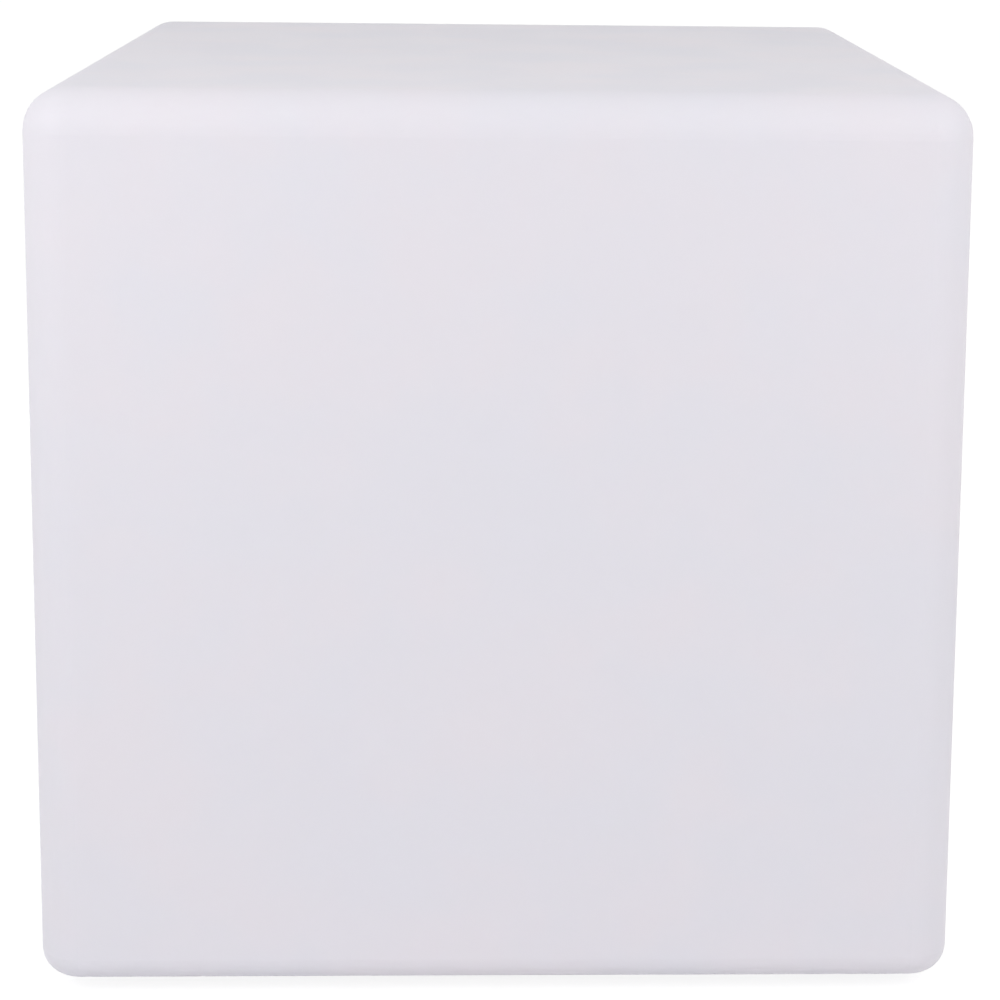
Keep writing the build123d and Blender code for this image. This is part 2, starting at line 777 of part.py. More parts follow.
def socket_pin():
    """Centre pin with a rounded tip, on a thicker root in the socket's back."""
    body = disc(pin_radius, pin_tip_z, socket_root_z, port_x, board_y)
    body = fillet(body.edges().group_by(Axis.Z)[0], pin_radius / 2)
    return body + disc(pin_root_radius, socket_root_z, board_z, port_x, board_y)


def port_flap():
    """Cover with knuckle, sealing plug and fingernail lip; closed at rest."""
    width = 2 * flap_half
    flap_z = flap_top_z - flap_thickness
    far_y = hinge_y - flap_reach
    body = slab(width, flap_reach, flap_corner_radius, flap_z, flap_top_z, port_x, (hinge_y + far_y) / 2)
    body += block(width, flap_corner_radius, flap_z, flap_top_z, port_x, hinge_y - flap_corner_radius / 2)
    body += rod(knuckle_radius, width, port_x, hinge_y, hinge_z)
    plug_top = plate_z + plug_engagement
    body += disc(well_radius - plug_gap, flap_z, plug_top, port_x, board_y)
    lip = rod(flap_thickness / 2, well_radius, port_x, far_y + flap_thickness, flap_z)
    body += lip & block(cube_width, cube_width, flap_z - flap_grip, flap_top_z)
    return body - rod(flap_pin_radius + running_clearance, width, port_x, hinge_y, hinge_z)


hinge_width = 2 * (flap_half + ear_gap + ear_thickness)
socket_seal = ring(port_boss_radius, nose_hole_radius, port_boss_z, socket_flange_z, port_x, board_y)
save("charging_socket", charging_socket())
save("socket_pin", socket_pin())
save("socket_seal", socket_seal)
save("port_flap", port_flap())
save("flap_pin", rod(flap_pin_radius, hinge_width, port_x, hinge_y, hinge_z))


# ---------------------------------------------------------------- power button and switch

def on_off_mark():
    """Open ring with a bar through its gap, to be cut into the button's face."""
    bottom = button_face_z
    top = bottom + button_dish_depth + mark_depth
    circle = ring(mark_radius, mark_radius - mark_width, bottom, top)
    half = mark_radius * tan(radians(mark_opening / 2))
    wedge = make_face(Polyline((0, 0), (half, -mark_radius), (-half, -mark_radius), close=True))
    circle -= Pos(0, 0, bottom) * extrude(wedge, top - bottom)
    bar = block(mark_width, mark_bar, bottom, top, 0, -mark_radius + mark_bar / 4)
    return circle + bar


def power_button():
    """Button with a dished face, retaining flange and stem."""
    body = disc(button_radius, button_face_z, button_flange_z)
    body = fillet(body.edges().group_by(Axis.Z)[0], button_dish_depth)
    body += disc(button_flange_radius, button_flange_z, button_flange_top_z)
    body += disc(stem_radius, button_flange_top_z, stem_top_z)
    face = button_radius - 2 * button_dish_depth
    body -= disc(face, button_face_z, button_face_z + button_dish_depth)
    return Pos(button_x, board_y, 0) * (body - on_off_mark())


def button_boot():
    """Rubber boot from the housing's floor to the button's stem."""
    collar = stem_radius + fit_gap
    outline = [
        (boot_radius, floor_z),
        (boot_outer, floor_z),
        (boot_outer, floor_z + boot_foot_height),
        (boot_radius + boot_wall, boot_collar_z - seat_gap + boot_wall / 2),
        (collar + boot_wall, boot_collar_z + boot_wall),
        (collar, boot_collar_z + boot_wall),
        (collar, boot_collar_z),
        (boot_radius, boot_collar_z - boot_wall),
    ]
    profile = make_face(Polyline(*outline, close=True))
    return Pos(button_x, board_y, 0) * revolve(Plane.XZ * profile, Axis.Z)


def switch_body():
    """Push switch under the control board, open below for its plunger."""
    body = block(switch_size, switch_size, switch_z, board_z)
    body -= disc(plunger_radius + seat_gap, switch_z, switch_hole_top_z)
    return Pos(button_x, board_y, 0) * body


save("power_button", power_button())
save("button_boot", button_boot())
save("switch_body", switch_body())
save("switch_plunger", disc(plunger_radius, stem_top_z, plunger_top_z, button_x, board_y))


# ---------------------------------------------------------------- indicator and vent

chip_led_z = board_z - chip_led_height
lens_top_z = chip_led_z - seat_gap
lens = disc(lens_radius, plate_z - lens_proud, lens_top_z, indicator_x, board_y)
lens = fillet(lens.edges().group_by(Axis.Z)[0], lens_proud)
lens += disc(lens_radius + lens_collar, floor_z, floor_z + lens_collar, indicator_x, board_y)
chip_led = block(chip_led_size, chip_led_size, chip_led_z, board_z, indicator_x, board_y)


def vent_plug():
    """Vent with a slotted head under the floor and a hollow stem."""
    head_z = plate_z - vent_head_height
    body = disc(vent_head_radius, head_z, plate_z)
    body = fillet(body.edges().group_by(Axis.Z)[0], vent_head_height / 2)
    slot = block(vent_head_radius, vent_slot_width, plate_z - vent_head_height / 2, plate_z, vent_head_radius)
    for n in range(vent_slots):
        body -= Rot(0, 0, 360 * n / vent_slots) * slot
    body += disc(vent_radius, plate_z, plate_z + vent_length)
    body -= disc(vent_radius / 2, plate_z, plate_z + vent_length)
    return Pos(vent_x, vent_y, 0) * body


save("indicator_lens", lens)
save("indicator_led", chip_led)
save("vent_plug", vent_plug())
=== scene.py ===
"""Finishes, small added pieces and studio of the led cube light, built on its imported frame."""

import json
import math

import bpy
from bpy.props import FloatProperty, FloatVectorProperty, IntProperty, PointerProperty
from bpy.types import NodeSocket, Operator, Panel, PropertyGroup
from mathutils import Matrix, Vector


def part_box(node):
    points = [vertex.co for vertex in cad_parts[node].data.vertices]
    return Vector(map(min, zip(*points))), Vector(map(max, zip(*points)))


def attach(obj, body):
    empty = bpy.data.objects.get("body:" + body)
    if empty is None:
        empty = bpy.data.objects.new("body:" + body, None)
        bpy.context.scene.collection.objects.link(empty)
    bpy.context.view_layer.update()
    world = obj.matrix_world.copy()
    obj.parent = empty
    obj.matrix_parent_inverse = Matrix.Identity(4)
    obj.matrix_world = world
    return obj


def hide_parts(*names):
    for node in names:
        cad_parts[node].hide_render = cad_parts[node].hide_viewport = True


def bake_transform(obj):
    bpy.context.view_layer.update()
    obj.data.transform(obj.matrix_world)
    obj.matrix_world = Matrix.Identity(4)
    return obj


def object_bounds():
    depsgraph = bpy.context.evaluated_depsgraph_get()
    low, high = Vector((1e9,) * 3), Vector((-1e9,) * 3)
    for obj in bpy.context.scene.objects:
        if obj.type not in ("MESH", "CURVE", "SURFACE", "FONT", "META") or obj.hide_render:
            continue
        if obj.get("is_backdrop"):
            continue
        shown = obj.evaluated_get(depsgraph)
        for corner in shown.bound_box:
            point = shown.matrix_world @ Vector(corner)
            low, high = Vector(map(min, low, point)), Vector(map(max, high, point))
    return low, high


bl_info = {
    "name": "Led cube light",
    "version": (1, 0, 0),
    "blender": (4, 5, 0),
    "location": "3D View > Sidebar > Cube Light",
    "description": "Finishes, small pieces and studio of a moulded led cube light",
    "category": "Object",
}

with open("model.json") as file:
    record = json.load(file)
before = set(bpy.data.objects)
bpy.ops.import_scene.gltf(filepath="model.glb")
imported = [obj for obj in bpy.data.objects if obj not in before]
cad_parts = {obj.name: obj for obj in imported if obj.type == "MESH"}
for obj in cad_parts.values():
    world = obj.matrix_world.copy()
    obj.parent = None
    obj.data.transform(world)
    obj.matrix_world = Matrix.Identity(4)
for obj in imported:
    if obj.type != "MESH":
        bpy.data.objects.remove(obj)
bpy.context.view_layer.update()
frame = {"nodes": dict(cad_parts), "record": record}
MM = 0.001
RECORD_COLOUR = {m["slot"]: m["base_color"][:3] for m in frame["record"]["materials"]}
SLOT_OF_NODE = {name: node.material_slots[0].material.name for name, node in frame["nodes"].items()}


# ---- what a user would change

def finish_colour(slot, description):
    """A colour whose default is the record's colour of that material slot."""
    return accent_colour(slot.replace("_", " ").capitalize(), description, RECORD_COLOUR[slot])


def accent_colour(name, description, value):
    """A colour with a default of its own, as a second pigment or print."""
    return FloatVectorProperty(
        name=name, description=description, default=value, subtype="COLOR", min=0.0, max=1.0
    )


def length(name, description, millimetres):
    """A size on the object, given in millimetres and kept in metres."""
    return FloatProperty(
        name=name, description=description, default=millimetres * MM,
        min=0.0, unit="LENGTH", subtype="DISTANCE", precision=5,
    )


def share(name, description, value):
    """A share from 0 to 1."""
    return FloatProperty(
        name=name, description=description, default=value, min=0.0, max=1.0, subtype="FACTOR"
    )


def turn(name, description, degrees):
    """An angle, given in degrees."""
    return FloatProperty(
        name=name, description=description, default=math.radians(degrees), subtype="ANGLE"
    )


def power(name, description, watts):
    """The power of a lamp."""
    return FloatProperty(name=name, description=description, default=watts, min=0.0, unit="POWER")


def place(name, description, point):
    """A point in the room, in metres."""
    return FloatVectorProperty(
        name=name, description=description, default=point, subtype="TRANSLATION", unit="LENGTH"
    )


class CubeLightColours(PropertyGroup):
    """Colours of every finish."""

    shell_plastic: finish_colour("shell_plastic", "Matt polyethylene of the cube")
    shell_warm: accent_colour("Warm clouds", "Warmer clouds in the polyethylene", (0.885, 0.842, 0.897))
    shell_cool: accent_colour("Cool clouds", "Cooler clouds in the polyethylene", (0.848, 0.843, 0.913))
    housing_plastic: finish_colour("housing_plastic", "Light module under the cube")
    opal_plastic: finish_colour("opal_plastic", "Diffuser dome")
    grey_rubber: finish_colour("grey_rubber", "Feet and socket cover")
    rubber_bloom: accent_colour("Rubber bloom", "Pale haze on aged rubber", (0.3, 0.3, 0.31))
    soft_seal: finish_colour("soft_seal", "Silicone seals and boot")
    button_plastic: finish_colour("button_plastic", "Button and vent")
    button_mark: accent_colour("Button mark", "Paint in the on and off mark", (0.9, 0.9, 0.9))
    steel: finish_colour("steel", "Screws, washers, pin and strap")
    brass: finish_colour("brass", "Threaded inserts")
    nickel: finish_colour("nickel", "Battery tabs and socket pin")
    led_board_finish: finish_colour("led_board_finish", "White coat of the led board")
    copper_under_coat: accent_colour("Copper under coat", "Tracks seen through the coat", (0.8, 0.77, 0.7))
    led_white: finish_colour("led_white", "Phosphor of the warm white leds")
    led_clear: finish_colour("led_clear", "Bodies of the led packages")
    cell_wrap: finish_colour("cell_wrap", "Sleeve of the cells")
    cell_paper: accent_colour("Cell rings", "Paper rings on the ends of the cells", (0.86, 0.84, 0.78))
    cell_paper_aged: accent_colour("Aged paper", "Darker clouds in the paper rings", (0.8, 0.77, 0.7))
    cradle_plastic: finish_colour("cradle_plastic", "Tray of the cells")
    board_green: finish_colour("board_green", "Coat of the control board")
    board_track: accent_colour("Board tracks", "Tracks under the green coat", (0.06, 0.36, 0.18))
    chip_black: finish_colour("chip_black", "Chips and coil")
    can_metal: finish_colour("can_metal", "Cans on the control board")
    connector_plastic: finish_colour("connector_plastic", "Plugs and terminals")
    socket_plastic: finish_colour("socket_plastic", "Charging socket and switch")
    wire_red: finish_colour("wire_red", "Positive lead")
    wire_black: finish_colour("wire_black", "Negative lead")
    wire_white: finish_colour("wire_white", "Leads of the leds")
    lens_clear: finish_colour("lens_clear", "Light pipe of the charge indicator")


class CubeLightSurface(PropertyGroup):
    """Sizes and depths of the surface detail."""

    shell_grain: length("Shell grain", "Size of the mould's blasted grain", 1.1)
    shell_grain_depth: length("Shell grain depth", "Height of the grain", 0.012)
    shell_ripple: length("Shell ripple", "Size of the slow ripple in the wall", 14.0)
    shell_ripple_depth: length("Shell ripple depth", "Height of the ripple", 0.035)
    shell_cloud: length("Shell clouds", "Size of the clouds in the pigment", 55.0)
    shell_cloud_share: share("Shell cloud share", "How much the clouds show", 0.55)
    shell_depth: length("Shell light depth", "How far light travels in the plastic", 2.5)
    shell_scuff: length("Shell scuffs", "Size of the scuffs on the underside", 2.0)
    shell_scuff_share: share("Shell scuff share", "How much the scuffs show", 0.3)
    moulded_grain: length("Moulded grain", "Grain of the small moulded pieces", 0.35)
    moulded_grain_depth: length("Moulded grain depth", "Height of that grain", 0.03)
    rubbed_edge: length("Rubbed edge", "Breadth of worn edges", 0.35)
    foot_radius: length("Foot radius", "Radius of a foot at its top", 15.0)
    foot_ring: length("Foot rings", "Distance between the rings under a foot", 1.6)
    foot_ring_depth: length("Foot ring depth", "Depth of the rings under a foot", 0.5)
    tarnish: length("Tarnish", "Size of the clouds on bare metal", 3.0)
    metal_scuff: length("Metal scuffs", "Size of the scuffs on bare metal", 0.8)
    metal_grain_depth: length("Metal grain depth", "Height of the grain on bare metal", 0.003)
    rolled_line: length("Rolled lines", "Distance between the lines on rolled metal", 0.4)
    thread_pitch: length("Knurl pitch", "Distance between the turned rings of brass", 0.5)
    metal_line_depth: length("Metal line depth", "Height of rolled and turned lines", 0.01)
    board_cell: length("Board pattern", "Size of one figure in the pattern of the tracks", 4.0)
    board_track_depth: length("Track depth", "Height of the tracks on the control board", 0.035)


class CubeLightDetail(PropertyGroup):
    """Sizes of the added pieces and of the relief on the module."""

    groove_radius: length("Drip groove", "Radius of the groove round the module's plate", 71.0)
    relief_depth: length("Relief depth", "Depth of groove, gate mark and label pad", 0.3)
    pad_y: length("Label pad place", "Middle of the bare pad behind the module's centre", 36.0)
    pad_length: length("Label pad length", "Length of the bare pad", 62.0)
    pad_width: length("Label pad width", "Width of the bare pad", 30.0)
    pad_corner: length("Label pad corner", "Corner radius of the bare pad", 3.0)
    vent_head: length("Vent head", "Height of the vent's head", 1.4)
    vent_grip: length("Vent grip", "Height of the ring and bar on the vent", 0.4)
    vent_bar: length("Vent bar", "Width of the bar on the vent", 1.6)
    gel_rise: length("Gel rise", "How far the gel's middle stands over the top of the led", 0.12)
    ring_thickness: length("Cell ring", "Thickness of the paper ring on a cell", 0.25)
    leg_width: length("Chip leg width", "Width of a chip's leg", 0.4)
    leg_reach: length("Chip leg reach", "How far a leg stands out of the chip", 1.0)
    leg_thickness: length("Chip leg thickness", "Thickness of a leg", 0.15)
    legs_a_side: IntProperty(
        name="Legs a side", description="Legs on each long side of a chip", default=4, min=2, max=8
    )


class CubeLightStudio(PropertyGroup):
    """Camera, lamps and floor."""

    camera_place: place("Camera", "Place of the camera", (-0.0078, -1.1722, 0.4948))
    camera_turn: turn("Turn", "Camera's turn to the right", 1.926)
    camera_tilt: turn("Tilt", "Camera's tilt downwards", 13.541)
    camera_roll: turn("Roll", "Camera's roll", 0.663)
    lens: FloatProperty(name="Lens", description="Focal length", default=87.12, min=10.0, unit="CAMERA")
    shift: FloatVectorProperty(
        name="Shift", description="Sideways and upward shift of the frame", default=(-0.06, -0.08), size=2
    )
    left_lamp: power("Left lamp", "Power of the lamp in front on the left", 1.65)
    left_lamp_place: place("Left lamp place", "Place of that lamp", (-0.6, -0.65, 0.7))
    right_lamp: power("Right lamp", "Power of the lamp in front on the right", 1.3)
    right_lamp_place: place("Right lamp place", "Place of that lamp", (0.6, -0.65, 0.7))
    front_lamp_width: length("Front lamp width", "Side of each lamp in front", 400.0)
    back_lamp: power("Back lamp", "Power of the lamp behind", 1.3)
    back_lamp_place: place("Back lamp place", "Place of that lamp, below the cube's top", (0.0, 1.2, 0.2))
    back_lamp_width: length("Back lamp width", "Side of the lamp behind", 360.0)
    room_light: FloatProperty(name="Room light", description="Light from all round", default=0.79, min=0.0)
    room_falloff: share("Room falloff", "How much darker the room is straight overhead", 0.25)
    floor_colour: accent_colour("Floor", "Pale floor", (0.85, 0.85, 0.85))
    floor_white: share("Floor white", "White that the floor shows before any light falls on it", 0.85)
    floor_shadow: share("Floor shadow", "Share of light and shadow that the floor shows", 0.28)


# ---- node trees

def empty_tree(owner):
    """The cleared node tree of a material or a world."""
    owner.use_nodes = True
    owner.node_tree.nodes.clear()
    return owner.node_tree


def put(tree, kind, inputs=None, **attributes):
    """Adds a node; its sockets take values or the outputs of other nodes."""
    node = tree.nodes.new(kind)
    for name, value in attributes.items():
        setattr(node, name, value)
    for key, value in (inputs or {}).items():
        supply(tree, node.inputs[key], value)
    return node


def supply(tree, socket, value):
    """Links an output to a socket, or sets the socket to a plain value."""
    if isinstance(value, NodeSocket):
        tree.links.new(value, socket)
    else:
        socket.default_value = value


def math_node(tree, operation, *values):
    """The result of one sum on one to three values."""
    return put(tree, "ShaderNodeMath", dict(enumerate(values)), operation=operation).outputs["Value"]


def vector_node(tree, operation, *values):
    """The result of one sum on vectors."""
    node = put(tree, "ShaderNodeVectorMath", dict(enumerate(values)), operation=operation)
    return node.outputs["Value" if operation in ("LENGTH", "DOT_PRODUCT") else "Vector"]


def noise(tree, spot, size, detail):
    """Soft noise with features of that size in metres, about 0.5 on average."""
    scale = math_node(tree, "DIVIDE", 1.0, size) if isinstance(size, NodeSocket) else 1.0 / size
    inputs = {"Vector": spot, "Scale": scale, "Detail": detail}
    return put(tree, "ShaderNodeTexNoise", inputs).outputs["Fac"]


def ramp(tree, value, low, high, start=0.0, end=1.0):
    """Value as a smooth step from start at low to end at high."""
    inputs = {"Value": value, "From Min": low, "From Max": high, "To Min": start, "To Max": end}
    return put(tree, "ShaderNodeMapRange", inputs, interpolation_type="SMOOTHSTEP").outputs["Result"]


def within(tree, distance, reach, slope):
    """1 up to reach, falling to 0 over slope."""
    return ramp(tree, distance, reach + slope, reach)


def off_by(tree, value, middle):
    """How far a value lies from a middle, either way."""
    return math_node(tree, "ABSOLUTE", math_node(tree, "SUBTRACT", value, middle))


def blend(tree, mask, first, second):
    """First colour where the mask is 0, second where it is 1."""
    node = put(tree, "ShaderNodeMix", data_type="RGBA")
    for socket, value in zip((node.inputs[0], node.inputs[6], node.inputs[7]), (mask, first, second)):
        supply(tree, socket, value)
    return node.outputs[2]


def opaque(colour):
    """A colour with its fourth number."""
    return (*colour, 1.0)


def shade(colour, factor):
    """A darker or lighter tone of a colour."""
    return tuple(min(1.0, part * factor) for part in colour)


# ---- effects that materials share

SOCKET_KINDS = {"Spot": "NodeSocketVector", "Colour": "NodeSocketColor", "Second": "NodeSocketColor"}


def start_effect(name, inputs, outputs):
    """A new shader node group with named sockets: its tree, its input sockets and its output node."""
    tree = bpy.data.node_groups.new(name, "ShaderNodeTree")
    for way, sockets in (("INPUT", inputs), ("OUTPUT", outputs)):
        for socket in sockets:
            kind = SOCKET_KINDS.get(socket, "NodeSocketFloat")
            tree.interface.new_socket(socket, in_out=way, socket_type=kind)
    return tree, put(tree, "NodeGroupInput").outputs, put(tree, "NodeGroupOutput").inputs


def clouded_tone():
    """Slow clouds of a second colour, as pigment and cooling leave them."""
    sockets = ("Spot", "Colour", "Second", "Size", "Share")
    tree, given, result = start_effect("clouded_tone", sockets, ("Colour", "Mask"))
    cloud = ramp(tree, noise(tree, given["Spot"], given["Size"], detail=3.0), low=0.36, high=0.66)
    mask = math_node(tree, "MULTIPLY", cloud, given["Share"])
    tree.links.new(blend(tree, mask, given["Colour"], given["Second"]), result["Colour"])
    tree.links.new(cloud, result["Mask"])


def mould_grain():
    """Fine blasted grain of a mould with a few small pits."""
    tree, given, result = start_effect("mould_grain", ("Spot", "Size"), ("Height",))
    pits_a_grain = 0.35
    pit_scale = math_node(tree, "DIVIDE", pits_a_grain, given["Size"])
    cells = put(tree, "ShaderNodeTexVoronoi", {"Vector": given["Spot"], "Scale": pit_scale})
    pits = ramp(tree, cells.outputs["Distance"], low=0.05, high=0.25)
    grain = noise(tree, given["Spot"], given["Size"], detail=2.0)
    tree.links.new(math_node(tree, "MULTIPLY", grain, pits), result["Height"])


def fine_scuffs():
    """Short thin scratches in two directions."""
    tree, given, result = start_effect("fine_scuffs", ("Spot", "Size", "Share"), ("Mask",))
    strokes = []
    for stretch, angle in (((1.0, 0.06, 0.3), 0.5), ((0.08, 1.0, 0.3), 0.2)):
        turned_spot = put(tree, "ShaderNodeVectorRotate", {"Vector": given["Spot"], "Angle": angle})
        drawn = vector_node(tree, "MULTIPLY", turned_spot.outputs["Vector"], stretch)
        strokes.append(ramp(tree, noise(tree, drawn, given["Size"], detail=1.0), low=0.7, high=0.78))
    both = math_node(tree, "MAXIMUM", *strokes)
    tree.links.new(math_node(tree, "MULTIPLY", both, given["Share"]), result["Mask"])


def rubbed_edges():
    """Mask of sharp edges that handling has rubbed, broken up by noise."""
    tree, given, result = start_effect("rubbed_edges", ("Spot", "Breadth", "Share"), ("Mask",))
    rounded = put(tree, "ShaderNodeBevel", {"Radius": given["Breadth"]}, samples=4)
    flat = put(tree, "ShaderNodeNewGeometry")
    even = vector_node(tree, "DOT_PRODUCT", rounded.outputs["Normal"], flat.outputs["Normal"])
    edge = ramp(tree, math_node(tree, "SUBTRACT", 1.0, even), low=0.02, high=0.2)
    breadths_a_patch = 5.0
    patch = math_node(tree, "MULTIPLY", given["Breadth"], breadths_a_patch)
    patches = ramp(tree, noise(tree, given["Spot"], patch, detail=3.0), low=0.4, high=0.6)
    broken = math_node(tree, "MULTIPLY", edge, patches)
    tree.links.new(math_node(tree, "MULTIPLY", broken, given["Share"]), result["Mask"])


def turned_rings():
    """Level rings round an upright axis, as a lathe or a mould leaves them."""
    tree, given, result = start_effect("turned_rings", ("Spot", "Pitch"), ("Height",))
    height = put(tree, "ShaderNodeSeparateXYZ", {"Vector": given["Spot"]}).outputs["Z"]
    turns = math_node(tree, "DIVIDE", height, given["Pitch"])
    wave = math_node(tree, "SINE", math_node(tree, "MULTIPLY", turns, math.tau))
    tree.links.new(math_node(tree, "MULTIPLY_ADD", wave, 0.5, 0.5), result["Height"])


def drawn_lines():
    """Long parallel lines along X, as rolling leaves them on strip metal."""
    tree, given, result = start_effect("drawn_lines", ("Spot", "Size"), ("Height",))
    drawn = vector_node(tree, "MULTIPLY", given["Spot"], (0.03, 1.0, 1.0))
    tree.links.new(noise(tree, drawn, given["Size"], detail=4.0), result["Height"])


EFFECTS = (clouded_tone, mould_grain, fine_scuffs, rubbed_edges, turned_rings, drawn_lines)


# ---- materials

class Finish:
    """A material while it is made: its shader, and the point on the surface in metres."""

    def __init__(self, name, constants):
        self.material = bpy.data.materials.new(name)
        self.tree = empty_tree(self.material)
        self.shader = put(self.tree, "ShaderNodeBsdfPrincipled", constants)
        put(self.tree, "ShaderNodeOutputMaterial", {"Surface": self.shader.outputs["BSDF"]})
        self.spot = put(self.tree, "ShaderNodeTexCoord").outputs["Object"]
        self.normal = None

    def effect(self, name, inputs):
        """Outputs of a shared effect, placed with its own values."""
        node = self.tree.nodes.new("ShaderNodeGroup")
        node.node_tree = bpy.data.node_groups[name]
        for key, value in {"Spot": self.spot, **inputs}.items():
            supply(self.tree, node.inputs[key], value)
        return node.outputs

    def feed(self, socket, value):
        """Links or sets a socket of the shader."""
        supply(self.tree, self.shader.inputs[socket], value)

    def paint(self, mask, colour):
        """Lays a colour over the finish where the mask is 1."""
        below = self.shader.inputs["Base Color"].links[0].from_socket
        self.feed("Base Color", blend(self.tree, mask, below, opaque(colour)))

    def roughen(self, mask, smooth, rough):
        """Roughness from smooth where the mask is 0 to rough where it is 1."""
        self.feed("Roughness", ramp(self.tree, mask, 0.0, 1.0, smooth, rough))

    def emboss(self, height, depth):
        """Adds relief of that depth in metres, inward where the depth is negative."""
        inputs = {"Height": height, "Distance": depth}
        if self.normal is not None:
            inputs["Normal"] = self.normal
        self.normal = put(self.tree, "ShaderNodeBump", inputs).outputs["Normal"]
        self.feed("Normal", self.normal)

    def grain(self, size, depth):
        """Adds mould grain of that size and depth."""
        self.emboss(self.effect("mould_grain", {"Size": size})["Height"], depth)

    def axis(self, letter):
        """One coordinate of the point on the surface."""
        return put(self.tree, "ShaderNodeSeparateXYZ", {"Vector": self.spot}).outputs[letter]

    def facing(self, letter):
        """One part of the face's true direction."""
        normal = put(self.tree, "ShaderNodeNewGeometry").outputs["Normal"]
        return put(self.tree, "ShaderNodeSeparateXYZ", {"Vector": normal}).outputs[letter]

    def from_axis(self, x=0.0, y=0.0):
        """Distance from an upright axis at (x, y), and from its mirror images if x and y are not 0."""
        spot = vector_node(self.tree, "ABSOLUTE", self.spot) if x or y else self.spot
        away = vector_node(self.tree, "SUBTRACT", spot, (x, y, 0.0))
        level = vector_node(self.tree, "MULTIPLY", away, (1.0, 1.0, 0.0))
        return vector_node(self.tree, "LENGTH", level)


def clouded(finish, colour, second, size, amount):
    """Feeds the colour of a finish from two tones, and gives the mask of the clouds."""
    inputs = {"Colour": opaque(colour), "Second": opaque(second), "Size": size, "Share": amount}
    tone = finish.effect("clouded_tone", inputs)
    finish.feed("Base Color", tone["Colour"])
    return tone["Mask"]


def moulded(
    name, colour, second, surface, cloud=20 * MM, tone=0.6, rough=(0.42, 0.56), worn=0.0, constants=None
):
    """Moulded plastic or rubber: clouds of tone, mould grain, and rubbed edges."""
    finish = Finish(name, {"IOR": 1.5, **(constants or {})})
    finish.roughen(clouded(finish, colour, second, cloud, tone), *rough)
    finish.grain(surface.moulded_grain, surface.moulded_grain_depth)
    if worn:
        edge = finish.effect("rubbed_edges", {"Breadth": surface.rubbed_edge, "Share": worn})["Mask"]
        finish.paint(edge, shade(colour, 1.35))
    return finish


def metal(name, colour, surface, rough=(0.22, 0.38), lines=None):
    """Bare metal: clouded tarnish, fine scuffs and the marks of its making, given as (effect, inputs)."""
    finish = Finish(name, {"Metallic": 1.0})
    tarnish = clouded(finish, colour, shade(colour, 0.78), surface.tarnish, 0.7)
    scuffs = finish.effect("fine_scuffs", {"Size": surface.metal_scuff, "Share": 1.0})["Mask"]
    finish.roughen(math_node(finish.tree, "MAXIMUM", tarnish, scuffs), *rough)
    if lines:
        finish.emboss(finish.effect(*lines)["Height"], surface.metal_line_depth)
    finish.grain(surface.moulded_grain, surface.metal_grain_depth)
    return finish


def dress(finish, slot):
    """Gives the material to every solid of a slot."""
    wearers = [node for name, node in frame["nodes"].items() if SLOT_OF_NODE[name] == slot]
    if not wearers:
        raise ValueError(f"no solid has the finish {slot}")
    for node in wearers:
        node.material_slots[0].material = finish.material


def share_finish(piece, node):
    """Gives an added piece the finish that a solid wears already."""
    piece.data.materials.append(frame["nodes"][node].material_slots[0].material)


# ---- meshes

def new_object(name, data):
    """An object in the scene, made of a mesh, a lamp or a camera."""
    made = bpy.data.objects.new(name, data)
    bpy.context.scene.collection.objects.link(made)
    return made


def new_piece(name, shape, body):
    """A smooth mesh from points in metres and faces, riding on a body if one is named."""
    mesh = bpy.data.meshes.new(name)
    points, faces = shape
    mesh.from_pydata([tuple(p) for p in points], [], faces)
    mesh.validate()
    piece = new_object(name, mesh)
    mesh.shade_smooth()
    if body:
        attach(piece, body)
    return piece


def lathed(profile, steps, move):
    """Points and faces of a closed outline of (radius, height) turned about an axis, then moved."""
    points, faces = [], []
    count = len(profile)
    for step in range(steps):
        angle = math.tau * step / steps
        points += [move @ Vector((r * math.cos(angle), r * math.sin(angle), z)) for r, z in profile]
        here, there = step * count, (step + 1) % steps * count
        for k in range(count):
            after = (k + 1) % count
            faces.append((here + k, there + k, there + after, here + after))
    return points, faces


def bent_strip(line, width, thickness, move):
    """Points and faces of a flat strip that follows a line of (y, z) points, then moved."""
    points, faces = [], []
    for y, z in line:
        for x, rise in ((-width, 0), (width, 0), (width, thickness), (-width, thickness)):
            points.append(move @ Vector((x / 2, y, z + rise)))
    for k in range(len(line) - 1):
        for edge in range(4):
            a, b = 4 * k + edge, 4 * k + (edge + 1) % 4
            faces.append((a, a + 4, b + 4, b))
    last = 4 * (len(line) - 1)
    faces += [(0, 1, 2, 3), (last + 3, last + 2, last + 1, last)]
    return points, faces


def joined(shapes):
    """Points and faces of several shapes as one."""
    points, faces = [], []
    for shape_points, shape_faces in shapes:
        faces += [tuple(k + len(points) for k in face) for face in shape_faces]
        points += shape_points
    return points, faces


def spread(first, last, count):
    """Evenly spaced values from first to last."""
    return [first + (last - first) * n / (count - 1) for n in range(count)]


def bevelled(piece, width):
    """Breaks a piece's sharp edges."""
    modifier = piece.modifiers.new("bevel", "BEVEL")
    modifier.width = width
    modifier.segments = 2
    modifier.harden_normals = True


def smooth_by_subdivision(piece, levels):
    """Rounds a piece with a subdivision surface."""
    modifier = piece.modifiers.new("round", "SUBSURF")
    modifier.levels = levels
    modifier.render_levels = levels


# ---- operators, one for each piece or group

def settings(context):
    """Colours, surface and detail as the user has set them."""
    scene = context.scene
    return scene.cube_light_colours, scene.cube_light_surface, scene.cube_light_detail


class CUBELIGHT_OT_effects(Operator):
    """Build the shader effects that the materials share"""

    bl_idname = "cubelight.effects"
    bl_label = "Shared Effects"

    def execute(self, context):
        for effect in EFFECTS:
            effect()
        return {"FINISHED"}


